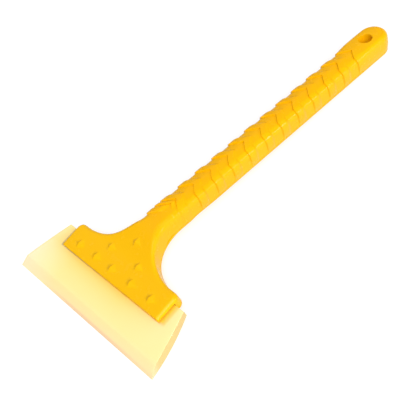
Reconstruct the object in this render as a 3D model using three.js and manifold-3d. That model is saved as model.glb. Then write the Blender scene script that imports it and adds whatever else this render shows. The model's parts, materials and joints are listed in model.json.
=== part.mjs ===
// Windshield ice scraper: a two-shell plastic handle whose head clamps a flexible bevelled blade.
//
// The tool frame has its origin under the middle of the blade's working edge. x runs across the
// blade, y runs from the working edge towards the handle's end, and z = 0 is the blade's rear face.
// The seam between the shells lies in z = 0 at the head and bends back with the handle, so the shells
// are drawn in seam coordinates: s along the seam, x across it and h square to it. In the last lines
// the tool is laid down on its working edge and the heel of its handle. All lengths are millimetres.

import * as THREE from 'three';
import { mergeVertices } from 'three/addons/utils/BufferGeometryUtils.js';
import Module from 'manifold-3d';

// ---- blade -----------------------------------------------------------------------------------

const BLADE_LENGTH = 48.5;
const BLADE_THICKNESS = 5.5;
const BLADE_BACK_HALF_WIDTH = 70.2;
const BLADE_EDGE_HALF_WIDTH = 84.3;
const BLADE_SIDE_BULGE = 2;
const BEVEL_LENGTH = 8.2;
const EDGE_LAND = 0.5;

// ---- shells ----------------------------------------------------------------------------------

const GAP = 0.3;
const JAW_FRONT = 32;
const HEAD_HALF_WIDTH = 60.3;
const HEAD_CORNER_RADIUS = 5;
const SPINE_BACK = 55;
const WAIST_START = { x: 48, s: 55.1 };
const WAIST_HANDLES = [{ x: 15.8, s: 58.3 }, { x: 10.8, s: 81 }];
const WAIST_END = { x: 11.4, s: 101 };
const HANDLE_END = 343;
const END_RADIUS = 11.4;
const END_FLAT = 1.2;

const FRONT_HEIGHT = { jaw: 8.8, head: 9.2, neck: 15, handle: 14.6 };
const REAR_DEPTH = { head: 3, handle: 3.2, fingerRest: 1.6 };
const FRONT_EDGE_RADIUS = { head: 3.3, handle: 6.2, end: 3.4 };
const REAR_EDGE_RADIUS = 2.7;
const HANDLE_CROWN = 0.5;

const BEND_ANGLE = THREE.MathUtils.degToRad(10.1);
const BEND_START = 80;
const BEND_LENGTH = 20.5;

// Stretches of the seam over which one shape passes into the next.
const JAW_TO_HEAD = [32, 46];
const HEAD_TO_NECK = [51.5, 80];
const NECK_TO_HANDLE = [88, 108];
const FRONT_EDGE_SOFTENS = [64, 90];
const FRONT_EDGE_SHARPENS = [306, 318];
const REAR_DEEPENS = [78, 100];
const FINGER_REST_FALLS = [107.5, 115];
const FINGER_REST_RISES = [115, 135];
const CROWN_APPEARS = [80, 104];
const BANDS_RUN_FORWARD = [76, 98];
const BANDS_STRAIGHTEN = [310, 326];

// ---- raised V bands on the handle --------------------------------------------------------------

const BAND_PITCH = 18;
const BAND_COUNT = 12;
const BAND_WIDTH = 8.4;
const BAND_HEIGHT = 1.2;
const BAND_RAMP = 0.9;
const BAND_HEIGHT_AT_SEAM = 0.15;
const FIRST_BAND = 107.8;
const LEAD_BANDS = [{ from: 94.5, to: 101.7 }, { from: 102.4, to: 107.1 }];
const V_SLOPE = 0.85;
const V_REACH = { left: 9.5, right: 7.6 };

// ---- studs, hanging hole, screws, inside ---------------------------------------------------------

const STUD_HALF_WIDTH = 4.2;
const STUD_HEIGHT = 1.4;
const STUD_SUNK = 0.6;
const STUD_ROWS = [
  { s: 40.7, xs: [-43, -21.8, -2, 21.7, 44.7] },
  { s: 53.4, xs: [-16.8, 16.6] },
  { s: 66.6, xs: [2] },
];

const HANG_HOLE_AT = 323.5;
const HANG_HOLE_RADIUS = 5.8;
const HANG_TUBE_WALL = 2;

const WALL = 2.4;
const CAVITY_FRONT = 62;
const CAVITY_BACK = 334;
const RIB_THICKNESS = 1.6;
const RIB_STATIONS = [97, 118, 139, 181, 202, 223, 265, 286];
const RIB_CLEARANCE = 2;
const REAR_POCKET = { front: 138, back: 300, halfWidth: 7.6, depth: 1.2 };

const SCREW_SHANK_RADIUS = 1.45;
const SCREW_HEAD_RADIUS = 2.8;
const SCREW_HEAD_HEIGHT = 1.5;
const SCREW_SHOULDER = { radius: 2.5, height: 1.1 };
const SCREW_TOP_RADIUS = 1.7;
const SCREW_RIM_HEIGHT = 0.45;
const SCREW_TIP = { radius: 0.5, length: 2 };
const SCREW_RECESS = { width: 0.8, length: 3.2, depth: 0.8 };
const COUNTERBORE_RADIUS = SCREW_HEAD_RADIUS + GAP;
const COUNTERBORE_DEPTH = 1.8;
const PILOT_RADIUS = SCREW_SHANK_RADIUS + GAP;
const BOSS_RADIUS = 3.3;
const BLADE_SCREW_AT = 41;
const BLADE_SCREW_XS = [-48, -24, 0, 24, 48];
const BLADE_SCREW_REACH = 6.9;
const HANDLE_SCREW_AT = [76, 160, 244, 308];
const HANDLE_SCREW_REACH = 8;
const PILOT_SPARE = 0.5;

const OVERCUT = 2;
const CUT_DEPTH = 10;
const CUT_LENGTH = 60;
const CUT_WIDTH = 200;
const ROUND_SEGMENTS = 16;
const HOLE_SEGMENTS = 28;
const SCREW_SEGMENTS = 12;

// ---- materials ---------------------------------------------------------------------------------

const shellPlastic = new THREE.MeshStandardMaterial({ color: 0xfdb81a, roughness: 0.38, metalness: 0 });
const coverPlastic = new THREE.MeshStandardMaterial({ color: 0xf8b118, roughness: 0.42, metalness: 0 });
const bladeElastomer = new THREE.MeshStandardMaterial({
  color: 0xfff0a0, roughness: 0.3, metalness: 0, transparent: true, opacity: 0.6,
});
const screwSteel = new THREE.MeshStandardMaterial({ color: 0xb9bcc0, roughness: 0.35, metalness: 0.9 });

// ---- seam coordinates --------------------------------------------------------------------------

// Where the seam lies at s, and how far it has turned back.
function seamAt(s) {
  const radius = BEND_LENGTH / BEND_ANGLE;
  const turned = THREE.MathUtils.clamp((s - BEND_START) / BEND_LENGTH, 0, 1) * BEND_ANGLE;
  const straight = Math.max(0, s - BEND_START - BEND_LENGTH);
  const before = Math.min(s, BEND_START);
  return {
    y: before + radius * Math.sin(turned) + straight * Math.cos(turned),
    z: -radius * (1 - Math.cos(turned)) - straight * Math.sin(turned),
    turned,
  };
}

function toolPoint(s, x, h) {
  const seam = seamAt(s);
  return [x, seam.y + h * Math.sin(seam.turned), seam.z + h * Math.cos(seam.turned)];
}

// A matrix that carries a shape drawn about the origin, with +z up, to a place on the seam.
function seamMatrix(s, x) {
  const seam = seamAt(s);
  return new THREE.Matrix4()
    .makeRotationX(-seam.turned)
    .setPosition(x, seam.y, seam.z);
}

// 0 before a stretch of the seam, 1 past it, and an even passage between.
const along = (s, [from, to]) => THREE.MathUtils.smoothstep(s, from, to);

function frontHeight(s) {
  const head = (FRONT_HEIGHT.head - FRONT_HEIGHT.jaw) * along(s, JAW_TO_HEAD);
  const neck = (FRONT_HEIGHT.neck - FRONT_HEIGHT.head) * along(s, HEAD_TO_NECK);
  const handle = (FRONT_HEIGHT.handle - FRONT_HEIGHT.neck) * along(s, NECK_TO_HANDLE);
  return FRONT_HEIGHT.jaw + head + neck + handle;
}

function frontEdgeRadius(s) {
  const handle = (FRONT_EDGE_RADIUS.handle - FRONT_EDGE_RADIUS.head) * along(s, FRONT_EDGE_SOFTENS);
  const end = (FRONT_EDGE_RADIUS.end - FRONT_EDGE_RADIUS.handle) * along(s, FRONT_EDGE_SHARPENS);
  return FRONT_EDGE_RADIUS.head + handle + end;
}

// The rear face is flat but for a shallow rest for the index finger where the neck ends.
function rearDepth(s) {
  const depth = THREE.MathUtils.lerp(REAR_DEPTH.head, REAR_DEPTH.handle, along(s, REAR_DEEPENS));
  const rest = along(s, FINGER_REST_FALLS) * (1 - along(s, FINGER_REST_RISES));
  return THREE.MathUtils.lerp(depth, REAR_DEPTH.fingerRest, rest);
}

// ---- outline -----------------------------------------------------------------------------------

// The right side of the outline, from the jaw's front corner to the flat at the handle's end. Each
// station has its place and its inward normal.
function outlineSide(handleStations) {
  const side = [];
  const addCurve = (curve, divisions, first) => {
    for (let i = first; i <= divisions; i += 1) {
      const p = curve.getPoint(i / divisions);
      const t = curve.getTangent(i / divisions);
      side.push({ x: p.x, s: p.y, nx: -t.y, ns: t.x });
    }
  };
  const arc = (x, s, radius, turn) => new THREE.EllipseCurve(x, s, radius, radius, 0, turn);
  side.push({ x: HEAD_HALF_WIDTH, s: JAW_FRONT, nx: -1, ns: 0.4 });
  side.push({ x: HEAD_HALF_WIDTH, s: JAW_FRONT + OVERCUT, nx: -1, ns: 0 });
  const cornerX = HEAD_HALF_WIDTH - HEAD_CORNER_RADIUS;
  const cornerS = SPINE_BACK - HEAD_CORNER_RADIUS;
  addCurve(arc(cornerX, cornerS, HEAD_CORNER_RADIUS, Math.PI / 2), 5, 0);
  addCurve(new THREE.CubicBezierCurve(
    new THREE.Vector2(WAIST_START.x, WAIST_START.s),
    new THREE.Vector2(WAIST_HANDLES[0].x, WAIST_HANDLES[0].s),
    new THREE.Vector2(WAIST_HANDLES[1].x, WAIST_HANDLES[1].s),
    new THREE.Vector2(WAIST_END.x, WAIST_END.s),
  ), 14, 0);
  for (const s of handleStations) {
    side.push({ x: WAIST_END.x, s, nx: -1, ns: 0 });
  }
  addCurve(arc(0, HANDLE_END - END_RADIUS, END_RADIUS, Math.acos(END_FLAT / END_RADIUS)), 7, 0);
  return side;
}

// ---- solids ------------------------------------------------------------------------------------

const wasm = await Module();
wasm.setup();

function toSolid(geometry) {
  const bare = new THREE.BufferGeometry();
  bare.setAttribute('position', geometry.getAttribute('position').clone());
  if (geometry.index) bare.setIndex(geometry.index.clone());
  const merged = mergeVertices(bare, 1e-4);
  return new wasm.Manifold(new wasm.Mesh({
    numProp: 3,
    vertProperties: new Float32Array(merged.getAttribute('position').array),
    triVerts: new Uint32Array(merged.index.array),
  }));
}

function toGeometry(solid) {
  const mesh = solid.getMesh();
  const geometry = new THREE.BufferGeometry();
  geometry.setAttribute('position', new THREE.Float32BufferAttribute(mesh.vertProperties, 3));
  geometry.setIndex(new THREE.Uint32BufferAttribute(mesh.triVerts, 1));
  geometry.computeVertexNormals();
  return geometry;
}

// A closed plate over an outline, with a rounded outer edge. Each ring of points runs once round
// the outline, and the rungs of a ladder across it close the seam side and the outer side.
//   side:    the right side of the outline
//   base:    height of the seam side
//   top:     s -> height of the outer side
//   radius:  s -> radius of the outer edge
//   relief:  station s -> height of the raised pattern, 0 where there is none
//   shift:   (station s, x) -> how far the pattern runs forward at x
//   crown:   how much higher the middle of the handle stands
function plateSolid({ side, base, top, radius, arcSteps, ...pattern }) {
  const { relief = () => 0, shift = () => 0, crown = 0 } = pattern;
  const flip = top(side[0].s) < base ? -1 : 1;
  const levels = [{ turn: 0, wall: 0 }, { turn: 0, wall: 0.55 }];
  for (let i = 0; i <= arcSteps; i += 1) {
    levels.push({ turn: (i / arcSteps) * (Math.PI / 2), wall: 1 });
  }
  const vertices = [];
  const faces = [];
  const addVertex = (s, x, h) => vertices.push(toolPoint(s, x, h)) - 1;

  // One point of a ring, on the right (sign 1) or left (sign -1) side of the outline.
  const edgePoint = (station, level, sign) => {
    const r = radius(station.s);
    const inset = r * (1 - Math.cos(level.turn));
    const plainS = station.s + station.ns * inset;
    const plainX = station.x + station.nx * inset;
    const shiftedS = plainS - shift(plainS, sign * plainX);
    const height = (Math.abs(top(shiftedS) - base) - r) * level.wall + r * Math.sin(level.turn);
    const raise = relief(station.s) * THREE.MathUtils.lerp(BAND_HEIGHT_AT_SEAM, 1, level.wall);
    const outward = raise * Math.cos(level.turn);
    return {
      s: shiftedS - station.ns * outward,
      x: sign * (plainX - station.nx * outward),
      h: base + flip * (height + raise * Math.sin(level.turn)),
    };
  };

  const across = [-0.5, 0, 0.5];
  const rungs = (level, withCrown) => side.map((station, i) => {
    const left = edgePoint(station, level, -1);
    const right = edgePoint(station, level, 1);
    const middle = across.map((f) => {
      const x = THREE.MathUtils.lerp(left.x, right.x, (f + 1) / 2);
      const plainS = station.s + station.ns * radius(station.s) * (1 - Math.cos(level.turn));
      const s = plainS - shift(plainS, x);
      const bulge = withCrown ? crown * along(s, CROWN_APPEARS) * (1 - f * f) : 0;
      const h = withCrown ? top(s) + flip * (relief(station.s) + bulge) : base;
      const isEnd = i === 0 || i === side.length - 1;
      return { s: isEnd ? right.s : s, x, h: withCrown ? h : right.h };
    });
    return [left, ...middle, right];
  });

  const rings = levels.map((level, k) => {
    const outer = k === levels.length - 1;
    const rows = rungs(level, outer);
    const last = rows.length - 1;
    const ids = rows.map((row, i) => row.map((p, j) => {
      const onEdge = j === 0 || j === row.length - 1 || i === 0 || i === last;
      const inCap = k === 0 || outer;
      if (!onEdge && !inCap) return -1;
      const h = onEdge && j > 0 && j < row.length - 1 && !outer ? row[0].h : p.h;
      return addVertex(p.s, p.x, h);
    }));
    return ids;
  });

  const loop = (ids) => {
    const last = ids.length - 1;
    const width = ids[0].length - 1;
    return [
      ...ids.map((row) => row[width]),
      ...ids[last].slice(1, width).reverse(),
      ...ids.map((row) => row[0]).reverse(),
      ...ids[0].slice(1, width),
    ];
  };
  const quad = (a, b, c, d) => faces.push([a, b, c], [a, c, d]);
  for (let k = 0; k + 1 < rings.length; k += 1) {
    const low = loop(rings[k]);
    const high = loop(rings[k + 1]);
    for (let i = 0; i < low.length; i += 1) {
      const j = (i + 1) % low.length;
      quad(low[i], low[j], high[j], high[i]);
    }
  }
  const cap = (ids, outward) => {
    for (let i = 0; i + 1 < ids.length; i += 1) {
      for (let j = 0; j + 1 < ids[i].length; j += 1) {
        const corners = [ids[i][j], ids[i][j + 1], ids[i + 1][j + 1], ids[i + 1][j]];
        quad(...(outward ? corners : corners.reverse()));
      }
    }
  };
  cap(rings[rings.length - 1], true);
  cap(rings[0], false);

  const geometry = new THREE.BufferGeometry();
  geometry.setAttribute('position', new THREE.Float32BufferAttribute(vertices.flat(), 3));
  geometry.setIndex(faces.flatMap((face) => (flip > 0 ? face : [...face].reverse())));
  return toSolid(geometry);
}

// An upright round bar at a place on the seam, from one height to another.
function bar(s, x, radius, from, to, segments = ROUND_SEGMENTS) {
  const geometry = new THREE.CylinderGeometry(radius, radius, to - from, segments);
  geometry.rotateX(Math.PI / 2);
  geometry.translate(0, 0, (from + to) / 2);
  geometry.applyMatrix4(seamMatrix(s, x));
  return toSolid(geometry);
}

function block(s, x, size, centreHeight) {
  const geometry = new THREE.BoxGeometry(size.across, size.along, size.up);
  geometry.translate(0, 0, centreHeight);
  geometry.applyMatrix4(seamMatrix(s, x));
  return toSolid(geometry);
}

const joinAll = (first, solids) => solids.reduce((whole, solid) => whole.add(solid), first);
const cutAll = (first, solids) => solids.reduce((whole, solid) => whole.subtract(solid), first);

// ---- raised V bands ----------------------------------------------------------------------------

const bands = [
  ...LEAD_BANDS,
  ...Array.from({ length: BAND_COUNT }, (_, i) => {
    const from = FIRST_BAND + BAND_PITCH * i;
    return { from, to: i === BAND_COUNT - 1 ? HANDLE_END + OVERCUT : from + BAND_WIDTH };
  }),
];

// The raised height at a station: bands rise and fall over a short ramp, and the end stays raised.
function bandRelief(s) {
  const inBand = bands.some((band) => s > band.from + BAND_RAMP / 2 && s < band.to - BAND_RAMP / 2);
  return inBand ? BAND_HEIGHT : 0;
}

// The bands run forward from the middle of the handle, and stop running forward at its edges.
function bandShift(s, x) {
  const fade = along(s, BANDS_RUN_FORWARD) * (1 - along(s, BANDS_STRAIGHTEN));
  const reach = x < 0 ? V_REACH.left : V_REACH.right;
  return V_SLOPE * Math.min(Math.abs(x), reach) * fade;
}

function bandStations() {
  const stations = [];
  for (const band of bands) {
    stations.push(band.from, band.from + BAND_RAMP);
    if (band.to < HANDLE_END) stations.push(band.to - BAND_RAMP, band.to);
  }
  return stations;
}

// ---- front shell -------------------------------------------------------------------------------

function studs() {
  return STUD_ROWS.flatMap(({ s, xs }) => xs.map((x) => {
    const height = STUD_HEIGHT + STUD_SUNK;
    const width = STUD_HALF_WIDTH * (height / STUD_HEIGHT);
    const geometry = new THREE.ConeGeometry(width, height, 4);
    geometry.rotateX(Math.PI / 2);
    const slope = Math.atan((frontHeight(s + 1) - frontHeight(s - 1)) / 2);
    geometry.rotateX(slope);
    geometry.translate(0, 0, frontHeight(s) - STUD_SUNK + height / 2);
    geometry.applyMatrix4(seamMatrix(s, x));
    return toSolid(geometry);
  }));
}

// The hollow of the front shell: an inner plate less the ribs, the screw bosses and the tube that
// lines the hanging hole.
function frontHollow() {
  const side = outlineSide([130, 200, 260, 300])
    .filter((station) => station.s > CAVITY_FRONT && station.s < CAVITY_BACK)
    .map((station) => ({ ...station, x: station.x + station.nx * WALL, s: station.s + station.ns * WALL }));
  const hollow = plateSolid({
    side,
    base: -OVERCUT,
    top: (s) => frontHeight(s) - WALL,
    radius: (s) => frontEdgeRadius(s) - WALL,
    arcSteps: 2,
  });
  const ribSize = { across: CUT_WIDTH, along: RIB_THICKNESS, up: FRONT_HEIGHT.neck };
  const ribs = RIB_STATIONS.map((s) => block(s, 0, ribSize, RIB_CLEARANCE + ribSize.up / 2));
  const bosses = HANDLE_SCREW_AT.map((s) => bar(s, 0, BOSS_RADIUS, GAP / 2, FRONT_HEIGHT.neck));
  const tube = bar(HANG_HOLE_AT, 0, HANG_HOLE_RADIUS + HANG_TUBE_WALL, GAP / 2, FRONT_HEIGHT.neck);
  return cutAll(hollow, [...ribs, ...bosses, tube]);
}

function frontShell() {
  const outer = plateSolid({
    side: outlineSide(bandStations()),
    base: GAP / 2,
    top: frontHeight,
    radius: frontEdgeRadius,
    relief: bandRelief,
    shift: bandShift,
    crown: HANDLE_CROWN,
    arcSteps: 4,
  });
  const slotTop = BLADE_THICKNESS + GAP;
  const slotSize = { across: CUT_WIDTH, along: CUT_LENGTH, up: slotTop + OVERCUT };
  const slot = block(BLADE_LENGTH + GAP - CUT_LENGTH / 2, 0, slotSize, (slotTop - OVERCUT) / 2);
  const bladeBosses = BLADE_SCREW_XS.map((x) => bar(BLADE_SCREW_AT, x, BOSS_RADIUS, 0, slotTop + 1));
  const bladePilots = BLADE_SCREW_XS.map((x) => (
    bar(BLADE_SCREW_AT, x, PILOT_RADIUS, -OVERCUT, BLADE_SCREW_REACH + PILOT_SPARE, SCREW_SEGMENTS)));
  const handlePilots = HANDLE_SCREW_AT.map((s) => (
    bar(s, 0, PILOT_RADIUS, -OVERCUT, HANDLE_SCREW_REACH + PILOT_SPARE, SCREW_SEGMENTS)));
  const holeTop = FRONT_HEIGHT.neck + CUT_DEPTH;
  const hangHole = bar(HANG_HOLE_AT, 0, HANG_HOLE_RADIUS, -OVERCUT, holeTop, HOLE_SEGMENTS);
  const body = joinAll(outer, studs());
  const open = cutAll(body, [slot, frontHollow()]);
  return cutAll(joinAll(open, bladeBosses), [...bladePilots, ...handlePilots, hangHole]);
}

// ---- rear cover --------------------------------------------------------------------------------

const REAR_STATIONS = [107.5, 110, 112.5, 115, 119, 123, 127, 131, 135, 200, 280];

function rearCover() {
  const outer = plateSolid({
    side: outlineSide(REAR_STATIONS),
    base: -GAP / 2,
    top: (s) => -rearDepth(s),
    radius: (s) => Math.min(REAR_EDGE_RADIUS, rearDepth(s) - GAP),
    arcSteps: 3,
  });
  const seatSize = { across: CUT_WIDTH, along: CUT_LENGTH, up: OVERCUT };
  const seat = block(BLADE_LENGTH + GAP - CUT_LENGTH / 2, 0, seatSize, OVERCUT / 2 - GAP);
  const pocketSize = {
    across: 2 * REAR_POCKET.halfWidth,
    along: REAR_POCKET.back - REAR_POCKET.front,
    up: 2 * REAR_POCKET.depth,
  };
  const pocket = block((REAR_POCKET.front + REAR_POCKET.back) / 2, 0, pocketSize, 0);
  const pads = HANDLE_SCREW_AT.map((s) => bar(s, 0, BOSS_RADIUS + 1, -REAR_DEPTH.handle, -GAP / 2));
  const screws = [
    ...BLADE_SCREW_XS.map((x) => ({ s: BLADE_SCREW_AT, x })),
    ...HANDLE_SCREW_AT.map((s) => ({ s, x: 0 })),
  ];
  const shanks = screws.map(({ s, x }) => bar(s, x, PILOT_RADIUS, -CUT_DEPTH, OVERCUT, SCREW_SEGMENTS));
  const counterbores = screws.map(({ s, x }) => (
    bar(s, x, COUNTERBORE_RADIUS, -CUT_DEPTH, COUNTERBORE_DEPTH - rearDepth(s))));
  const hangHole = bar(HANG_HOLE_AT, 0, HANG_HOLE_RADIUS, -CUT_DEPTH, OVERCUT, HOLE_SEGMENTS);
  return cutAll(outer, [seat, cutAll(pocket, pads), ...shanks, ...counterbores, hangHole]);
}

// ---- blade -------------------------------------------------------------------------------------

function blade() {
  const sideX = (BLADE_EDGE_HALF_WIDTH + BLADE_BACK_HALF_WIDTH) / 2 + 2 * BLADE_SIDE_BULGE;
  const plan = new THREE.Shape();
  plan.moveTo(-BLADE_EDGE_HALF_WIDTH, 0);
  plan.lineTo(BLADE_EDGE_HALF_WIDTH, 0);
  plan.quadraticCurveTo(sideX, BLADE_LENGTH / 2, BLADE_BACK_HALF_WIDTH, BLADE_LENGTH);
  plan.lineTo(-BLADE_BACK_HALF_WIDTH, BLADE_LENGTH);
  plan.quadraticCurveTo(-sideX, BLADE_LENGTH / 2, -BLADE_EDGE_HALF_WIDTH, 0);
  for (const x of BLADE_SCREW_XS) {
    plan.holes.push(new THREE.Path().absarc(x, BLADE_SCREW_AT, BOSS_RADIUS + GAP, 0, 2 * Math.PI, true));
  }
  const slab = new THREE.ExtrudeGeometry(plan, {
    depth: BLADE_THICKNESS,
    bevelEnabled: false,
    curveSegments: 10,
  });
  const wedge = new THREE.BoxGeometry(CUT_WIDTH, CUT_LENGTH, CUT_LENGTH);
  wedge.translate(0, 0, CUT_LENGTH / 2);
  wedge.rotateX(Math.atan2(BLADE_THICKNESS - EDGE_LAND, BEVEL_LENGTH));
  wedge.translate(0, 0, EDGE_LAND);
  return toSolid(slab).subtract(toSolid(wedge));
}

// ---- screws ------------------------------------------------------------------------------------

// A cross-recessed pan-head self-tapping screw on +z, with the underside of its head at z = 0.
function screw(reach) {
  const profile = [
    [0, -SCREW_HEAD_HEIGHT],
    [SCREW_TOP_RADIUS, -SCREW_HEAD_HEIGHT],
    [SCREW_SHOULDER.radius, -SCREW_SHOULDER.height],
    [SCREW_HEAD_RADIUS, -SCREW_RIM_HEIGHT],
    [SCREW_HEAD_RADIUS, 0],
    [SCREW_SHANK_RADIUS, 0],
    [SCREW_SHANK_RADIUS, reach - SCREW_TIP.length],
    [SCREW_TIP.radius, reach],
    [0, reach],
  ].map(([x, y]) => new THREE.Vector2(x, y));
  const body = new THREE.LatheGeometry(profile, SCREW_SEGMENTS);
  body.rotateX(Math.PI / 2);
  const slots = [0, Math.PI / 2].map((turn) => {
    const slot = new THREE.BoxGeometry(SCREW_RECESS.length, SCREW_RECESS.width, 2 * SCREW_RECESS.depth);
    slot.rotateZ(turn);
    slot.translate(0, 0, -SCREW_HEAD_HEIGHT);
    return toSolid(slot);
  });
  return cutAll(toSolid(body), slots);
}

// ---- assembly ----------------------------------------------------------------------------------

const tool = new THREE.Group();

function addPiece(name, solid, material) {
  const mesh = new THREE.Mesh(toGeometry(solid), material);
  mesh.name = name;
  tool.add(mesh);
  return mesh;
}

// A screw stands in its counterbore, a gap below the counterbore's floor.
function addScrew(name, s, x, reach) {
  const headAt = COUNTERBORE_DEPTH - rearDepth(s) - GAP;
  const mesh = addPiece(name, screw(reach - headAt), screwSteel);
  const place = seamMatrix(s, x).multiply(new THREE.Matrix4().makeTranslation(0, 0, headAt));
  place.decompose(mesh.position, mesh.quaternion, mesh.scale);
}

addPiece('front_shell', frontShell(), shellPlastic);
const cover = addPiece('rear_cover', rearCover(), coverPlastic);
addPiece('blade', blade(), bladeElastomer);
BLADE_SCREW_XS.forEach((x, i) => addScrew(`blade_screw_${i + 1}`, BLADE_SCREW_AT, x, BLADE_SCREW_REACH));
HANDLE_SCREW_AT.forEach((s, i) => addScrew(`handle_screw_${i + 1}`, s, 0, HANDLE_SCREW_REACH));

// The tool lies on its working edge and on the heel of its handle: it turns about the working edge
// until the lowest point of the cover is level with it.
function restingAngle(geometry) {
  const position = geometry.getAttribute('position');
  let angle = 0;
  for (let i = 0; i < position.count; i += 1) {
    angle = Math.max(angle, Math.atan2(-position.getZ(i), position.getY(i)));
  }
  return angle;
}

tool.rotation.x = restingAngle(cover.geometry);
const scraper = new THREE.Group();
scraper.add(tool);
scraper.updateMatrixWorld(true);

// The origin is on the surface, under the middle of the whole tool.
const extent = new THREE.Box3().setFromObject(scraper, true);
tool.position.set(0, -(extent.min.y + extent.max.y) / 2, -extent.min.z);
scraper.updateMatrixWorld(true);

export default scraper;
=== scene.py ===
"""Windshield ice scraper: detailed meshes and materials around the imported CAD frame.

Shapes are drawn in millimetres in the tool frame of the CAD part: x across the blade, y from the
working edge towards the handle's end, z = 0 on the blade's rear face. The two shells are drawn in seam
coordinates (s along the seam, x across it, h square to it), because the handle bends back from the
head. to_row() carries tool points into the row frame, in metres.
"""

import itertools
import json
import math
from functools import partial

import bmesh
import bpy
import numpy as np
from mathutils import Matrix, Vector


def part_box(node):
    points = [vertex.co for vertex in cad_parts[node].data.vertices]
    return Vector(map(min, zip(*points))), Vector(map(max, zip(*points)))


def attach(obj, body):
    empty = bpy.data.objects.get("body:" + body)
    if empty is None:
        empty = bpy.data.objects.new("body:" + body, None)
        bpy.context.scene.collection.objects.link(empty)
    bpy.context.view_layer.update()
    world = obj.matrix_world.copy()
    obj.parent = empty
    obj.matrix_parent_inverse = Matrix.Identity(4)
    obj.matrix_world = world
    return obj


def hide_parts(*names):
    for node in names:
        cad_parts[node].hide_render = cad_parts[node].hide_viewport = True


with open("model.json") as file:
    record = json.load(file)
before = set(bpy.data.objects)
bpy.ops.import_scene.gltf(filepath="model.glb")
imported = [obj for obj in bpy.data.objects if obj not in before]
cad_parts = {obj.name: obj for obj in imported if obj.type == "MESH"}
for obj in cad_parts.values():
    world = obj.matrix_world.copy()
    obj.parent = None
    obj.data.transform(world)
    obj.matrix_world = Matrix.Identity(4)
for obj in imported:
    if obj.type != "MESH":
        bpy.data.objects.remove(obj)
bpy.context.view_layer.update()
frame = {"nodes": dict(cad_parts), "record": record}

MM = 0.001

# ---- sizes of the part, in millimetres -------------------------------------------------------

BLADE_LENGTH = 48.5
BLADE_THICKNESS = 5.5
BLADE_BACK_HALF_WIDTH = 70.2
BLADE_EDGE_HALF_WIDTH = 84.3
BLADE_SIDE_BULGE = 2.0
BLADE_SIDE_LEAN = 1.4
BEVEL_LENGTH = 8.2
EDGE_LAND = 0.5
BEVEL_SOFTNESS = 0.3
BLADE_END_ROUND = 0.45
BLADE_SOFT_EDGE = 0.4
BLADE_BOW = 0.55
BLADE_BOW_SPAN = (-84.0, 26.0)

GAP = 0.3
SEAM_GAP = 0.1
JAW_FRONT = 32.0
HEAD_HALF_WIDTH = 60.3
HEAD_CORNER_RADIUS = 5.0
SPINE_BACK = 55.0
WAIST = [(48.0, 55.1), (15.8, 58.3), (10.8, 81.0), (11.4, 101.0)]
HANDLE_HALF_WIDTH = 11.4
HANDLE_END = 343.0
END_RADIUS = 11.4
END_FLAT = 1.2

FRONT_JAW, FRONT_HEAD, FRONT_NECK, FRONT_HANDLE = 8.8, 9.2, 15.0, 14.6
REAR_HEAD, REAR_HANDLE, REAR_FINGER_REST = 3.0, 3.2, 1.6
EDGE_HEAD, EDGE_HANDLE, EDGE_END, EDGE_REAR = 3.3, 6.2, 3.4, 2.7
CROWN = 0.5
JAW_ROUND = 1.0

# Where, along the seam, one shape runs over into the next.
JAW_TO_HEAD = (32.0, 46.0)
HEAD_TO_NECK = (51.5, 80.0)
NECK_TO_HANDLE = (88.0, 108.0)
EDGE_SOFTENS = (64.0, 90.0)
EDGE_TIGHTENS = (306.0, 318.0)
REAR_DEEPENS = (78.0, 100.0)
FINGER_REST_BEGINS, FINGER_REST_ENDS = (107.5, 115.0), (115.0, 135.0)
CREASE_BEGINS, CREASE_ENDS = (54.0, 72.0), (322.0, 336.0)
CROWN_BEGINS = (80.0, 104.0)
BANDS_RUN_FORWARD, BANDS_STRAIGHTEN = (76.0, 98.0), (310.0, 326.0)
FINE_FROM = 88.0

BEND_ANGLE = math.radians(10.1)
BEND_START = 80.0
BEND_LENGTH = 20.5

BAND_PITCH = 18.0
BAND_COUNT = 12
BAND_WIDTH = 8.4
BAND_HEIGHT = 1.2
BAND_STEP = 0.55
BAND_FALL = 1.8
BAND_RUN_OUT = 0.6
BAND_AT_SEAM = 0.12
BAND_GROWS = 1.8
FIRST_BAND = 107.8
LEAD_BANDS = [(94.5, 101.7), (102.4, 107.1)]
# Each row: the fade holds up to this s, begins at this x, and takes this share of the relief.
BAND_FADES = ((102.0, -3.5, 1.0), (107.5, 0.5, 0.9), (117.0, 3.5, 0.6))
BAND_FADE_WIDTH = 5.0
V_SLOPE = 0.85
V_REACH_LEFT, V_REACH_RIGHT = 9.5, 7.6
V_TIP_SOFTNESS = 0.5

STUD_REACH = 4.2 * 1.38
STUD_HEIGHT = 1.3
STUD_SUNK = 0.5
STUD_SOFTNESS = 0.001
STUD_TIP = 0.06
STUD_LEAN = -0.35
STUDS = [(40.7, x) for x in (-43.0, -21.8, -2.0, 21.7, 44.7)]
STUDS += [(53.4, -16.8), (53.4, 16.6), (66.6, 2.0)]

HANG_HOLE_AT = 323.5
HANG_HOLE_RADIUS = 5.8
HANG_TUBE_WALL = 2.0
RIM_FILLET = 0.45
RIM_SUNK = 0.03
REVEAL_DEPTH = 0.3
REVEAL_HEIGHT = 0.4
WALL = 2.4
CAVITY = (62.0, 334.0)
BEYOND = 100.0

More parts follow.
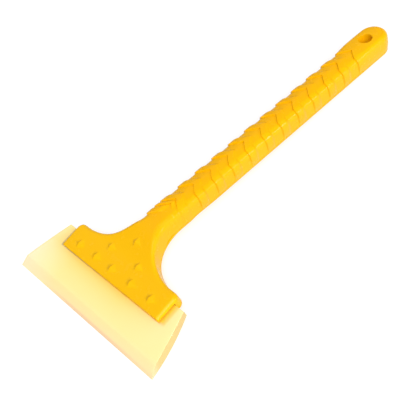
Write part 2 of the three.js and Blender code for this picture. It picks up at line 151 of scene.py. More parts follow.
SHANK_RADIUS = 1.45
THREAD_PITCH = 1.1
THREAD_ROOT = 1.05
POINT_LENGTH = 1.8
SCREW_HEAD_RADIUS = 2.8
SCREW_HEAD_HEIGHT = 1.5
COUNTERBORE_RADIUS = SCREW_HEAD_RADIUS + GAP
COUNTERBORE_DEPTH = 1.8
COUNTERBORE_FILLET = 0.35
PILOT_RADIUS = SHANK_RADIUS + GAP
BOSS_RADIUS = 3.3
BLADE_SCREW_AT = 41.0
BLADE_SCREW_XS = (-48.0, -24.0, 0.0, 24.0, 48.0)
BLADE_SCREW_REACH = 6.9
HANDLE_SCREW_AT = (76.0, 160.0, 244.0, 308.0)
HANDLE_SCREW_REACH = 8.0

# ---- from the tool frame to the row frame ----------------------------------------------------

head_back = next(m for m in frame["record"]["mounts"] if m["name"] == "head_back")
REST_ANGLE = math.atan2(head_back["axis"][1], -head_back["axis"][2])
EDGE_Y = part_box("blade")[0].y + EDGE_LAND * MM * math.sin(REST_ANGLE)
TOOL_TO_ROW = Matrix.Translation((0, EDGE_Y, 0)) @ Matrix.Rotation(REST_ANGLE, 4, "X")
ROTATE = np.array(TOOL_TO_ROW.to_3x3())
SHIFT = np.array([0.0, EDGE_Y, 0.0])


def to_row(points):
    """Tool points in millimetres, as points of the row frame in metres."""
    return np.asarray(points, float) @ ROTATE.T * MM + SHIFT


# ---- seam coordinates --------------------------------------------------------------------------


def ease(s, start, end):
    """0 before the start, 1 after the end, and smooth between them."""
    t = np.clip((np.asarray(s, float) - start) / (end - start), 0, 1)
    return t * t * (3 - 2 * t)


def seam_at(s):
    """y, z and the turned angle of the seam at s."""
    s = np.asarray(s, float)
    radius = BEND_LENGTH / BEND_ANGLE
    turned = np.clip((s - BEND_START) / BEND_LENGTH, 0, 1) * BEND_ANGLE
    straight = np.maximum(0, s - BEND_START - BEND_LENGTH)
    y = np.minimum(s, BEND_START) + radius * np.sin(turned) + straight * math.cos(BEND_ANGLE)
    z = -radius * (1 - np.cos(turned)) - straight * math.sin(BEND_ANGLE)
    return y, z, turned


def tool_points(s, x, h):
    """Seam coordinates carried into the tool frame."""
    y, z, turned = seam_at(s)
    return np.stack([np.asarray(x, float) + 0 * y, y + h * np.sin(turned), z + h * np.cos(turned)], -1)


def seam_matrix(s, x):
    """Carries a shape drawn about the origin, with +z up, to a place on the seam."""
    y, z, turned = (float(v) for v in seam_at(s))
    return Matrix.Translation((x, y, z)) @ Matrix.Rotation(-turned, 4, "X")


def front_height(s):
    """Height of the front face over the seam, without crown or bands."""
    head = (FRONT_HEAD - FRONT_JAW) * ease(s, *JAW_TO_HEAD)
    neck = (FRONT_NECK - FRONT_HEAD) * ease(s, *HEAD_TO_NECK)
    handle = (FRONT_HANDLE - FRONT_NECK) * ease(s, *NECK_TO_HANDLE)
    return FRONT_JAW + head + neck + handle


def front_edge(s):
    """Radius of the front shell's outer edge."""
    softer = (EDGE_HANDLE - EDGE_HEAD) * ease(s, *EDGE_SOFTENS)
    tighter = (EDGE_END - EDGE_HANDLE) * ease(s, *EDGE_TIGHTENS)
    return EDGE_HEAD + softer + tighter


def rear_depth(s):
    """Depth of the rear face under the seam, shallower at the finger rest."""
    depth = REAR_HEAD + (REAR_HANDLE - REAR_HEAD) * ease(s, *REAR_DEEPENS)
    rest = ease(s, *FINGER_REST_BEGINS) * (1 - ease(s, *FINGER_REST_ENDS))
    return depth + (REAR_FINGER_REST - depth) * rest


# ---- raised V bands ----------------------------------------------------------------------------

bands = LEAD_BANDS + [
    (FIRST_BAND + BAND_PITCH * i, FIRST_BAND + BAND_PITCH * i + BAND_WIDTH) for i in range(BAND_COUNT)
]
last_band = bands[-1][0]


def band_relief(s):
    """Raised height at a station: a sharp step up, then a softer fall. The handle's end stays raised."""
    s = np.asarray(s, float)
    relief = np.zeros_like(s)
    for start, end in bands:
        rise = np.clip((s - start) / BAND_STEP, 0, 1)
        fall = 1 - ease(s, end - BAND_FALL, end + BAND_RUN_OUT) if start != last_band else 1.0
        relief = np.maximum(relief, rise * fall * (s > start))
    return relief * BAND_HEIGHT


def band_presence(s, x):
    """How much of the relief is left at x: the first bands fade out towards the right edge."""
    limits, starts, losses = zip(*BAND_FADES)
    near = [s < limit for limit in limits]
    start = np.select(near, starts, 0.0)
    loss = np.select(near, losses, 0.0)
    return 1 - loss * ease(x, start, start + BAND_FADE_WIDTH)


def band_shift(s, x):
    """How far the bands run back at x, which gives them their V."""
    fade = ease(s, *BANDS_RUN_FORWARD) * (1 - ease(s, *BANDS_STRAIGHTEN))
    reach = np.where(x < 0, V_REACH_LEFT, V_REACH_RIGHT)
    run = np.sqrt(np.minimum(np.abs(x), reach) ** 2 + V_TIP_SOFTNESS**2) - V_TIP_SOFTNESS
    return V_SLOPE * run * fade


def flat(s, x=None):
    """No relief, or no shift, anywhere."""
    return 0 * s


# ---- meshes --------------------------------------------------------------------------------------


def mesh_object(name, vertices, faces, smooth_angle=32):
    """A mesh object from points in the row frame, shaded smooth but for edges sharper than the angle."""
    mesh = bpy.data.meshes.new(name)
    mesh.from_pydata([tuple(v) for v in vertices], [], [tuple(f) for f in faces])
    mesh.validate()
    shape = bmesh.new()
    shape.from_mesh(mesh)
    bmesh.ops.remove_doubles(shape, verts=shape.verts, dist=1e-7)
    bmesh.ops.recalc_face_normals(shape, faces=shape.faces)
    shape.to_mesh(mesh)
    shape.free()
    shade(mesh, smooth_angle)
    piece = bpy.data.objects.new(name, mesh)
    bpy.context.scene.collection.objects.link(piece)
    return piece


def shade(mesh, smooth_angle):
    """Smooth shading, but for edges that turn by more than the angle in degrees."""
    mesh.polygons.foreach_set("use_smooth", [True] * len(mesh.polygons))
    mesh.set_sharp_from_angle(angle=math.radians(smooth_angle))


def tube_faces(count, width):
    """Faces of an open tube through `count` rings of `width` points."""
    faces = []
    for i in range(count - 1):
        for j in range(width):
            k = (j + 1) % width
            faces.append((i * width + j, i * width + k, (i + 1) * width + k, (i + 1) * width + j))
    return faces


def capped_tube_faces(count, width):
    """Faces of a tube closed flat at both ends."""
    first_cap = list(range(width))[::-1]
    last_cap = list(range((count - 1) * width, count * width))
    return tube_faces(count, width) + [first_cap, last_cap]


def loft(rows, across):
    """Points and faces of a closed tube through rows of points. The first and last rows are closed by
    bands that join the row's left half to its right half; `across` points lie between the halves."""
    count, width = len(rows), len(rows[0])
    faces = tube_faces(count, width)
    half = (width - across) // 2
    for i in (0, count - 1):
        base = i * width
        for j in range(half - 2):
            faces.append((base + j, base + j + 1, base + width - 2 - j, base + width - 1 - j))
        faces.append([base + j for j in range(half - 2, width - half + 2)])
    return np.concatenate(rows), faces


def carve(piece, cutters, operation="DIFFERENCE"):
    """Applies the cutters to the piece, one boolean each, and removes them."""
    for cutter in cutters:
        modifier = piece.modifiers.new("carve", "BOOLEAN")
        modifier.operation = operation
        modifier.solver = "MANIFOLD"
        modifier.object = cutter
        graph = bpy.context.evaluated_depsgraph_get()
        result = bpy.data.meshes.new_from_object(piece.evaluated_get(graph))
        piece.modifiers.remove(modifier)
        piece.data = result
    for cutter in cutters:
        bpy.data.objects.remove(cutter)
    return piece


# Turned shapes start a part of a segment off the axes, which keeps their corners off the cut planes.
LATHE_PHASE = 0.3


def lathe(name, profile, place, segments=48):
    """A closed turned shape about z, from a profile of radius and z, closed flat at both ends."""
    points = []
    for radius, z in profile:
        for k in range(segments):
            turn = 2 * math.pi * (k + LATHE_PHASE) / segments
            points.append(place @ Vector((radius * math.cos(turn), radius * math.sin(turn), z)))
    return mesh_object(name, to_row(points), capped_tube_faces(len(profile), segments))


def block(name, low, high, place=Matrix()):
    """A box between two opposite corners."""
    corners = list(itertools.product(*zip(low, high)))
    faces = [(0, 1, 3, 2), (4, 6, 7, 5), (0, 4, 5, 1), (2, 3, 7, 6), (0, 2, 6, 4), (1, 5, 7, 3)]
    return mesh_object(name, to_row([place @ Vector(c) for c in corners]), faces)


# ---- outline of the shells -----------------------------------------------------------------------


def outline(fine):
    """Stations of the outline's right side: x, s and the inward normal (nx, ns)."""
    front = JAW_FRONT + JAW_ROUND * np.array([0, 0.04, 0.15, 0.33, 0.6, 1.0])
    side = [(HEAD_HALF_WIDTH, s, -1, 0) for s in front]
    corner_x, corner_s = HEAD_HALF_WIDTH - HEAD_CORNER_RADIUS, SPINE_BACK - HEAD_CORNER_RADIUS
    side += [(HEAD_HALF_WIDTH, s, -1, 0) for s in np.arange(JAW_FRONT + 2, corner_s - 0.5, 1.5)]
    for turn in np.linspace(0, math.pi / 2, 13):
        c, d = math.cos(turn), math.sin(turn)
        side.append((corner_x + HEAD_CORNER_RADIUS * c, corner_s + HEAD_CORNER_RADIUS * d, -c, -d))
    t = np.linspace(0, 1, 2001)[:, None]
    p0, p1, p2, p3 = (np.array(p) for p in WAIST)
    curve = (1 - t) ** 3 * p0 + 3 * (1 - t) ** 2 * t * p1 + 3 * (1 - t) * t**2 * p2 + t**3 * p3
    slope = 3 * (1 - t) ** 2 * (p1 - p0) + 6 * (1 - t) * t * (p2 - p1) + 3 * t**2 * (p3 - p2)
    slope /= np.linalg.norm(slope, axis=1)[:, None]
    coarse = curve[:, 1] < FINE_FROM
    picks = list(np.nonzero(coarse)[0][::35])
    last = curve[picks[-1], 1]
    end_start = HANDLE_END - END_RADIUS
    for s in fine[(fine > last + 0.4) & (fine < WAIST[3][1])]:
        picks.append(int(np.argmin(np.abs(curve[:, 1] - s))))
    side += [(curve[i, 0], curve[i, 1], -slope[i, 1], slope[i, 0]) for i in picks]
    side += [(HANDLE_HALF_WIDTH, s, -1, 0) for s in fine if WAIST[3][1] <= s < end_start - 0.3]
    for turn in np.linspace(0, math.acos(END_FLAT / END_RADIUS), 20):
        c, d = math.cos(turn), math.sin(turn)
        side.append((END_RADIUS * c, end_start + END_RADIUS * d, -c, -d))
    return np.array(side, float)


# The handle's front edges turn in three arcs, tight in the middle, which leaves a soft crease.
CREASE_TURNS = [0.0, math.radians(22), math.radians(46), math.pi / 2]
CREASE_RADII = [1.363, 0.5, 1.129]


def edge_arc(turn, crease):
    """Inset and rise of a rounded edge of radius 1, once its normal has turned this far from the side."""
    inset, rise = 0.0, 0.0
    for start, end, radius in zip(CREASE_TURNS, CREASE_TURNS[1:], CREASE_RADII):
        stop = min(max(turn, start), end)
        inset += radius * (math.cos(start) - math.cos(stop))
        rise += radius * (math.sin(stop) - math.sin(start))
    plain_inset, plain_rise = 1 - math.cos(turn), math.sin(turn)
    return plain_inset + (inset - plain_inset) * crease, plain_rise + (rise - plain_rise) * crease


def stations(edges):
    """Evenly spaced stations along the handle, with extra ones on each step."""
    extra = [s + d for s in edges for d in (0, 0.12, 0.43, BAND_STEP)]
    even = np.arange(FINE_FROM, HANDLE_END, 0.9)
    plain = [s for s in even if all(abs(s - e) > 0.25 for e in extra)]
    return np.array(sorted(plain + extra))


def shell(name, base, top, edge, side, relief=flat, shift=flat, crown=0.0, lip=0.25, crease=False):
    """A closed plate over the outline, from the height base to the height top(s), with a rounded outer
    edge of radius edge(s) and a small lip at the seam."""
    flip = -1 if float(top(60.0)) < base else 1
    x0, s0, nx, ns = side.T
    r = edge(s0)
    raised = relief(s0)
    creased = ease(s0, *CREASE_BEGINS) * (1 - ease(s0, *CREASE_ENDS)) if crease else 0 * s0
    front = np.clip(s0 - JAW_FRONT, 0, JAW_ROUND)
    rounded = JAW_ROUND - np.sqrt(np.maximum(0, JAW_ROUND**2 - (JAW_ROUND - front) ** 2))
    jaw_round = np.where(s0 < JAW_FRONT + JAW_ROUND + 0.01, rounded, 0)
    # Each level: extra inset, share of the wall's height, turn of the edge, height of the lip.
    levels = [(lip, 0.0, 0.0, 0.0), (0.3 * lip, 0.0, 0.0, 0.3 * lip), (0.0, 0.0, 0.0, lip)]
    levels += [(0.0, wall, 0.0, lip) for wall in (0.15, 0.4, 0.7)]
    turns = [0, 8, 15, 22, 26, 30, 34, 38, 42, 46, 52, 58, 65, 72, 80, 90]
    levels += [(0.0, 1.0, math.radians(turn), lip) for turn in turns]

    def ring(level, sign):
        extra_inset, wall, turn, foot = level
        arc_inset, arc_rise = edge_arc(turn, creased)
        inset = r * arc_inset + extra_inset
        plain_s = s0 + ns * inset
        plain_x = x0 + nx * inset
        s = plain_s - shift(plain_s, sign * plain_x)
        full = np.abs(top(s) - base) - jaw_round
        height = foot + np.maximum(full - r - foot, 0.05) * wall + r * arc_rise
        if wall == 1.0:
            height = np.minimum(height, full)
        rise = raised * band_presence(s0, sign * plain_x) * min(1.0, BAND_AT_SEAM + BAND_GROWS * wall)
        out = rise * math.cos(turn)
        return s - ns * out, sign * (plain_x - nx * out), base + flip * (height + rise * math.sin(turn))

    left = [ring(level, -1) for level in levels]
    right = [ring(level, 1) for level in levels]
    left_x, right_x = left[-1][1], right[-1][1]
    middle = []
    plain_s = s0 + ns * r
    spread = np.linspace(-1, 1, 25)[1:-1]
    for f in spread:
        x = left_x + (right_x - left_x) * (f + 1) / 2
        s = plain_s - shift(plain_s, x)
        raise_here = raised * band_presence(s0, x)
        h = top(s) + flip * (raise_here + crown * ease(s, *CROWN_BEGINS) * (1 - f * f) - jaw_round)
        middle.append((s, x, h))
    section = left + middle + right[::-1]
    rows = np.stack([tool_points(s, x, h) for s, x, h in section], 1)
    points, faces = loft(rows, len(middle))
    return mesh_object(name, to_row(points), faces)


# ---- the pieces ----------------------------------------------------------------------------------


def stud(index, s, x):
    """A low four-sided pyramid with softened ridges, standing on the head's front face."""
    steps = 20
    slope = math.atan(float(front_height(s + 1) - front_height(s - 1)) / 2)
    up = Matrix.Translation((0, 0, float(front_height(s))))
    place = seam_matrix(s, x) @ up @ Matrix.Rotation(slope, 4, "X")
    vertices = []
    for i in range(steps + 1):
        for j in range(steps + 1):
            a = 2 * i / steps - 1
            b = 2 * j / steps - 1
            u, v = (a - b) / 2, (a + b) / 2
            across = (u - STUD_LEAN) / (1 - STUD_LEAN if u > STUD_LEAN else 1 + STUD_LEAN)
            reach = math.sqrt(across**2 + STUD_SOFTNESS) + math.sqrt(v * v + STUD_SOFTNESS) - STUD_TIP
            z = (STUD_HEIGHT + STUD_SUNK) * (1 - max(0.0, reach)) - STUD_SUNK
            vertices.append((u * STUD_REACH, v * STUD_REACH, z))
    faces = []
    width = steps + 1
    for i in range(steps):
        for j in range(steps):
            faces.append((i * width + j, (i + 1) * width + j, (i + 1) * width + j + 1, i * width + j + 1))
    rim = list(range(width)) + [i * width + steps for i in range(1, width)]
    rim += [steps * width + j for j in range(steps - 1, -1, -1)]
    rim += [i * width for i in range(steps - 1, 0, -1)]
    floor = [(vertices[k][0], vertices[k][1], -STUD_SUNK - 1.0) for k in rim]
    first = len(vertices)
    vertices += floor
    count = len(rim)
    for k in range(count):
        m = (k + 1) % count
        faces.append((rim[k], rim[m], first + m, first + k))
    faces.append([first + k for k in range(count)][::-1])
    return mesh_object(f"stud_{index}", to_row([place @ Vector(v) for v in vertices]), faces)


def flared(name, s, x, radius, low, high, fillet_low=0.0, fillet_high=0.0, segments=64):
    """A round cutter whose ends flare out, so that it leaves rounded rims at the heights low and high."""
    profile = []
    past = 3.0
    arc = np.linspace(0, math.pi / 2, 7)
    if fillet_low:
        profile.append((radius + fillet_low, low - past))
        for t in arc:
            profile.append((radius + fillet_low * (1 - math.sin(t)), low + fillet_low * (1 - math.cos(t))))
    else:
        profile.append((radius, low))
    if fillet_high:
        for t in arc:
            profile.append((radius + fillet_high * (1 - math.cos(t)), high - fillet_high * (1 - math.sin(t))))
        profile.append((radius + fillet_high, high + past))
    else:
        profile.append((radius, high))
    return lathe(name, profile, seam_matrix(s, x), segments)


def make_front_shell():
    """The front shell: V bands, studs, the blade's slot, the hollow with its bosses, the hanging hole."""
    piece = shell(
        "shell_front",
        base=SEAM_GAP / 2,
        top=front_height,
        edge=front_edge,
        side=outline(stations([start for start, _ in bands])),
        relief=band_relief,
        shift=band_shift,
        crown=CROWN,
        crease=True,
    )
    carve(piece, [stud(i, s, x) for i, (s, x) in enumerate(STUDS)], "UNION")
    slot_top = BLADE_THICKNESS + GAP
    slot_back = BLADE_LENGTH + GAP
    slot = block("slot", (-BEYOND, -10, -2), (BEYOND, slot_back, slot_top))
    reveal_top = slot_top + REVEAL_HEIGHT
    reveal_side = HEAD_HALF_WIDTH - REVEAL_DEPTH
    reveals = [
        block("reveal_front", (-BEYOND, -10, 0), (BEYOND, JAW_FRONT + REVEAL_DEPTH, reveal_top)),
        block("reveal_left", (-BEYOND, -10, 0), (-reveal_side, slot_back, reveal_top)),
        block("reveal_right", (reveal_side, -10, 0), (BEYOND, slot_back, reveal_top)),
    ]
    crown_top = FRONT_HANDLE + BAND_HEIGHT + CROWN
    hole = flared("hole", HANG_HOLE_AT, 0, HANG_HOLE_RADIUS, -4, crown_top - 0.15, 0, RIM_FILLET)
    side = outline(np.arange(90, HANDLE_END, 12.0))
    side = side[(side[:, 1] > CAVITY[0]) & (side[:, 1] < CAVITY[1])]
    side[:, 0] += side[:, 2] * WALL
    side[:, 1] += side[:, 3] * WALL
    hollow = shell(
        "hollow",
        base=-2.0,
        top=lambda s: front_height(s) - WALL,
        edge=lambda s: front_edge(s) - WALL,
        side=side,
        lip=0.1,
    )
    low, high = -6, FRONT_NECK + 4
    keep = [flared(f"boss_{s:.0f}", s, 0, BOSS_RADIUS, low, high, segments=32) for s in HANDLE_SCREW_AT]
    keep.append(flared("hole_tube", HANG_HOLE_AT, 0, HANG_HOLE_RADIUS + HANG_TUBE_WALL, low, high))
    carve(hollow, keep)
    carve(piece, [slot, *reveals, hollow, hole])
    return piece


def make_rear_cover():
    """The rear cover: the blade's seat, pilot holes with counterbores and the hanging hole."""
    piece = shell(
        "shell_rear",
        base=-SEAM_GAP / 2,
        top=lambda s: -rear_depth(s),
        edge=lambda s: np.minimum(EDGE_REAR, rear_depth(s) - 2 * GAP),
        side=outline(stations([])),
    )
    places = [(BLADE_SCREW_AT, x) for x in BLADE_SCREW_XS] + [(s, 0.0) for s in HANDLE_SCREW_AT]
    cutters = [block("seat", (-BEYOND, -10, -GAP), (BEYOND, BLADE_LENGTH + GAP, 3))]
    for i, (s, x) in enumerate(places):
        depth = float(rear_depth(s))
        rim, floor = RIM_SUNK - depth, COUNTERBORE_DEPTH - depth
        pilot = flared(f"pilot_{i}", s, x, PILOT_RADIUS, -10, 4, segments=32)
        sink = flared(f"sink_{i}", s, x, COUNTERBORE_RADIUS, rim, floor, COUNTERBORE_FILLET, segments=48)
        cutters += [pilot, sink]
    cutters.append(flared("hole", HANG_HOLE_AT, 0, HANG_HOLE_RADIUS, RIM_SUNK - REAR_HANDLE, 4, RIM_FILLET))
    return carve(piece, cutters)


def make_blade():
    """The blade: a slab with soft edges, a bevelled working edge and slightly bowed sides."""
    bevel_stations = [*np.arange(0.8, 7.6, 0.8), *np.linspace(7.6, 8.8, 7)]
    back_stations = [48.0, 48.25, 48.42, BLADE_LENGTH]
    ys = np.array([0.0, 0.08, 0.25, *bevel_stations, *np.arange(10, 48, 1.6), *back_stations])
    t = ys / BLADE_LENGTH
    pull = (BLADE_EDGE_HALF_WIDTH + BLADE_BACK_HALF_WIDTH) / 2 + 2 * BLADE_SIDE_BULGE
    half = (1 - t) ** 2 * BLADE_EDGE_HALF_WIDTH + 2 * t * (1 - t) * pull + t**2 * BLADE_BACK_HALF_WIDTH
    lean = BLADE_SIDE_LEAN * 4 * t * (1 - t)
    slope = (BLADE_THICKNESS - EDGE_LAND) / BEVEL_LENGTH
    bevel = EDGE_LAND + ys * slope - BLADE_THICKNESS
    height = BLADE_THICKNESS + (bevel - np.sqrt(bevel**2 + BEVEL_SOFTNESS**2)) / 2
    past = np.maximum(ys - (BLADE_LENGTH - BLADE_END_ROUND), 0)
    height = height - BLADE_END_ROUND + np.sqrt(np.maximum(0, BLADE_END_ROUND**2 - past**2))
    arc = np.linspace(0, math.pi / 2, 5)
    soft = np.minimum(BLADE_SOFT_EDGE, height * 0.3)
    spread = np.linspace(-1, 1, 61)[1:-1]

    def side(sign):
        points = []
        for a in arc[::-1]:
            points.append((half - soft * (1 - np.cos(a)), soft * (1 - np.sin(a))))
        for f in (0.35, 0.65):
            points.append((half - lean * f, height * f))
        for a in arc:
            points.append((half - lean - soft * (1 - np.cos(a)), height - soft * (1 - np.sin(a))))
        return [(sign * x, z) for x, z in points]

    left, right = side(-1), side(1)
    inner = half - lean - soft
    middle = [(f * inner, height) for f in spread]
    section = left + middle + right[::-1]
    rows = []
    bow_start, bow_end = BLADE_BOW_SPAN
    for x, z in section:
        along = np.clip((x - bow_start) / (bow_end - bow_start), 0, 1)
        bow = BLADE_BOW * np.sin(along * math.pi) * (1 - ease(ys, 0, 9))
        rows.append(np.stack([x, ys + bow, z], -1))
    points, faces = loft(np.stack(rows, 1), len(middle))
    piece = mesh_object("scraper_blade", to_row(points), faces)
    holes = [
        flared(f"blade_hole_{i}", BLADE_SCREW_AT, x, BOSS_RADIUS + GAP, -4, 10, segments=40)
        for i, x in enumerate(BLADE_SCREW_XS)
    ]
    return carve(piece, holes)


def make_screw(name, s, x, reach):
    """A cross-recessed pan-head screw with a rolled thread, head at the rear of the part."""
    head_at = COUNTERBORE_DEPTH - float(rear_depth(s)) - GAP
    length = reach - head_at
    segments = 24
    head = [(0.25, -SCREW_HEAD_HEIGHT), (1.5, -SCREW_HEAD_HEIGHT + 0.02), (2.1, -1.38), (2.5, -1.12)]
    head += [(2.72, -0.8), (SCREW_HEAD_RADIUS, -0.42), (SCREW_HEAD_RADIUS, -0.12), (2.7, 0.0)]
    turns = np.arange(segments) * 2 * math.pi / segments

    def ring(radius, z):
        return np.stack([radius * np.cos(turns), radius * np.sin(turns), 0 * turns + z], -1)

    rings = [ring(radius, z) for radius, z in head]
    for z in np.arange(0.0, length - 0.05, THREAD_PITCH / 8):
        phase = ((z / THREAD_PITCH - turns / (2 * math.pi)) % 1.0) - 0.5
        crest = np.clip(1 - np.abs(phase) / 0.3, 0, 1) * min(1.0, max(0.0, (z - 0.4) / 0.8))
        taper = min(1.0, (length - z) / POINT_LENGTH)
        rings.append(ring((THREAD_ROOT + (SHANK_RADIUS - THREAD_ROOT) * crest) * max(0.2, taper), z))
    rings.append(ring(0.1, length))
    place = seam_matrix(s, x) @ Matrix.Translation((0, 0, head_at))
    points = [place @ Vector(v) for v in np.concatenate(rings)]
    piece = mesh_object(name, to_row(points), capped_tube_faces(len(rings), segments))
    low, high = (-1.6, -0.36, -SCREW_HEAD_HEIGHT - 1), (1.6, 0.36, -0.55)
    slots = []
    for k in range(2):
        turned = place @ Matrix.Rotation(k * math.pi / 2 + 0.4 * x + s, 4, "Z")
        slots.append(block(f"{name}_slot_{k}", low, high, turned))
    carve(piece, slots)
    shade(piece.data, 35)
    return piece


# ---- materials -----------------------------------------------------------------------------------


class Nodes:
    """Short names for building a node material."""

    def __init__(self, name):
        self.material = bpy.data.materials.new(name)
        self.material.use_nodes = True
        self.tree = self.material.node_tree
        self.tree.nodes.clear()
        self.output = self.tree.nodes.new("ShaderNodeOutputMaterial")
        self.place = self.add("TexCoord").outputs["Object"]

    def add(self, kind, **inputs):
        node = self.tree.nodes.new("ShaderNode" + kind)
        for key, value in inputs.items():
            if hasattr(node, key):
                setattr(node, key, value)
            else:
                self.put(node.inputs[key.replace("_", " ")], value)
        return node

    def put(self, socket, value):
        if isinstance(value, bpy.types.NodeSocket):
            self.tree.links.new(value, socket)
        else:
            socket.default_value = value

    def noise(self, scale, detail=3.0):
        node = self.add("TexNoise", Scale=scale, Detail=detail)
        self.put(node.inputs["Vector"], self.place)
        return node.outputs["Fac"]

    def ramp(self, value, low, high, start=0.0, end=1.0):
        node = self.add("MapRange", clamp=True)
        for i, v in enumerate((value, low, high, start, end)):
            self.put(node.inputs[i], v)
        return node.outputs[0]

    def math(self, operation, a, b=0.0):
        node = self.add("Math", operation=operation)
        self.put(node.inputs[0], a)
        self.put(node.inputs[1], b)
        return node.outputs[0]

    def mix(self, factor, a, b):
        node = self.add("Mix", data_type="RGBA")
        self.put(node.inputs[0], factor)
        self.put(node.inputs[6], a)
        self.put(node.inputs[7], b)
        return node.outputs[2]

    def blend(self, factor, a, b):
        node = self.add("MixShader")
        self.put(node.inputs[0], factor)
        self.put(node.inputs[1], a.outputs[0])
        self.put(node.inputs[2], b.outputs[0])
        return node

    def bump(self, height, strength, distance):
        node = self.add("Bump", Strength=strength, Distance=distance)
        self.put(node.inputs["Height"], height)
        return node.outputs["Normal"]

    def finish(self, shader):
        self.tree.links.new(shader, self.output.inputs["Surface"])
        return self.material


PLASTIC_IOR = 1.46
PLASTIC_SPECULAR = 0.18
# The head is painted a little lighter and yellower than the handle, standing in for more light falling on it:
# row y, in metres, where each tone is reached.
HANDLE_TONE_Y, HEAD_PAINTED_LIGHT_Y = -0.082, -0.112


def plastic(name, colour, warm, head_painted_light, roughness):
    """Satin moulded plastic: a fine moulded grain, faint flow shading, slightly uneven gloss and painted
    light on the head.
    """
    n = Nodes(name)
    flow = n.noise(14.0, 2.0)
    grain = n.noise(2600.0, 2.0)
    scuffs = n.noise(180.0, 4.0)
    tone = n.mix(n.ramp(flow, 0.35, 0.65), colour, warm)
    along = n.add("SeparateXYZ", Vector=n.place).outputs[1]
    # Painted light: the head takes a lighter tone, standing in for more light falling on it.
    tone = n.mix(n.ramp(along, HANDLE_TONE_Y, HEAD_PAINTED_LIGHT_Y), tone, head_painted_light)
    rough = n.ramp(scuffs, 0.35, 0.7, roughness - 0.04, roughness + 0.06)
    bsdf = n.add("BsdfPrincipled", Roughness=rough, Base_Color=tone)
    bsdf.inputs["IOR"].default_value = PLASTIC_IOR
    bsdf.inputs["Specular IOR Level"].default_value = PLASTIC_SPECULAR
    n.put(bsdf.inputs["Normal"], n.bump(grain, 0.12, 0.00004))
    return n.finish(bsdf.outputs[0])


CLEAN_WHITE = (1.0, 1.0, 1.0, 1)
PALE_END = (1.0, 0.89, 0.64, 1)
NEAR_EDGE = (1.0, 0.76, 0.50, 1)
JAW_PAINTED_GLOW = (1.0, 0.68, 0.11, 1)
BESIDE_JAW_PAINTED_BOUNCE = (1.0, 0.78, 0.03, 1)
EDGE_LIP = (0.88, 0.62, 0.40, 1)
SIDE_EDGE = (1.0, 0.76, 0.36, 1)
CONTACT_LEFT = (0.50, 0.43, 0.26, 1)
CONTACT_RIGHT = (1.0, 0.56, 0.04, 1)
SPECK = (0.55, 0.5, 0.3, 1)
JAW_PAINTED_GLOW_LENGTH = 10.0
BLADE_IOR = 1.4


def blade_material(name, clear, deep, see_through):
    """Translucent polyurethane: it glows with the light that crosses it, and a painted orange glow
    stands in for light tinted by the jaw, in front of it and beside its right end. Lengths are in millimetres
    over the floor, y from the working edge and x from the middle."""
    n = Nodes(name)
    axis = n.add("SeparateXYZ", Vector=n.place)
    x = n.math("DIVIDE", axis.outputs[0], MM)
    y = n.math("DIVIDE", n.math("SUBTRACT", axis.outputs[1], EDGE_Y), MM)
    jaw = JAW_FRONT * math.cos(REST_ANGLE)
    product = partial(n.math, "MULTIPLY")

    # The bulk: cloudy, paler at one end and near the working edge, with a painted orange glow in front of the
    # jaw.
    body = n.mix(n.ramp(n.noise(30.0, 2.0), 0.3, 0.7, 0.0, 0.35), clear, deep)
    body = n.mix(n.ramp(x, -42, -80, 0.0, 0.75), body, PALE_END)
    body = n.mix(n.ramp(y, 11, 3, 0.0, 0.45), body, NEAR_EDGE)
    # Painted light: an orange glow fading out in front of the jaw, for light tinted by the jaw's colour.
    from_jaw = n.math("MAXIMUM", n.math("SUBTRACT", jaw, y), 0.0)
    painted_glow = n.math("EXPONENT", n.math("DIVIDE", from_jaw, -JAW_PAINTED_GLOW_LENGTH))
    painted_glow_window = product(n.ramp(x, -85, -35, 0.25, 1.0), n.ramp(x, 64, 18))
    body = n.mix(product(painted_glow, painted_glow_window), body, JAW_PAINTED_GLOW)
    # Painted light: a yellow glow beside the jaw's right end, for light bounced off the jaw's lit end wall.
    painted_bounce = product(n.ramp(x, 66.8, 61.8), n.ramp(x, 59.0, 59.8))
    painted_bounce = product(painted_bounce, n.ramp(y, jaw - 1, jaw + 1))
    body = n.mix(product(painted_bounce, 0.95), body, BESIDE_JAW_PAINTED_BOUNCE)

    # The outline: a darker lip along the working edge and a rim along the slanted side.
    lip = product(n.ramp(y, 2.6, 1.2), n.ramp(x, -55, -15))
    lip = product(lip, n.ramp(x, 75, 35, 0.35, 0.85))
    body = n.mix(lip, body, EDGE_LIP)
    taper = (BLADE_EDGE_HALF_WIDTH - BLADE_BACK_HALF_WIDTH) / BLADE_LENGTH
    outer = n.math("SUBTRACT", product(y, taper), x)
    body = n.mix(n.ramp(outer, 82.4, 83.6, 0.0, 0.5), body, SIDE_EDGE)

    # The thin shadow where the jaw stands on the blade.
    reach = n.math("ADD", n.math("ABSOLUTE", x), n.ramp(x, -10, 10, -1.2, 0.0))
    reach = n.ramp(reach, HEAD_HALF_WIDTH + 1.5, HEAD_HALF_WIDTH + 0.7)
    contact = product(n.ramp(y, jaw - 1.5, jaw - 0.9), reach)
    shadow = n.mix(n.ramp(x, -55, 15), CONTACT_LEFT, CONTACT_RIGHT)
    body = n.mix(product(contact, 0.85), body, shadow)
    body = n.mix(n.ramp(n.noise(260.0, 1.0), 0.80, 0.84, 0.0, 0.35), body, SPECK)

    scattered = n.add("BsdfDiffuse", Color=body)
    through = n.add("BsdfTranslucent", Color=body)
    clear_part = n.add("BsdfTransparent", Color=body)
    open_way = n.add("BsdfTransparent", Color=CLEAN_WHITE)
    gloss = n.add("BsdfGlossy", Roughness=0.18, Color=CLEAN_WHITE)
    inside = n.add("NewGeometry").outputs["Backfacing"]
    fresnel = n.add("Fresnel", IOR=BLADE_IOR).outputs[0]
    soft = n.blend(0.2, scattered, through)
    veiled = n.blend(see_through, soft, clear_part)
    skin = n.blend(fresnel, veiled, gloss)
    return n.finish(n.blend(inside, skin, open_way).outputs[0])


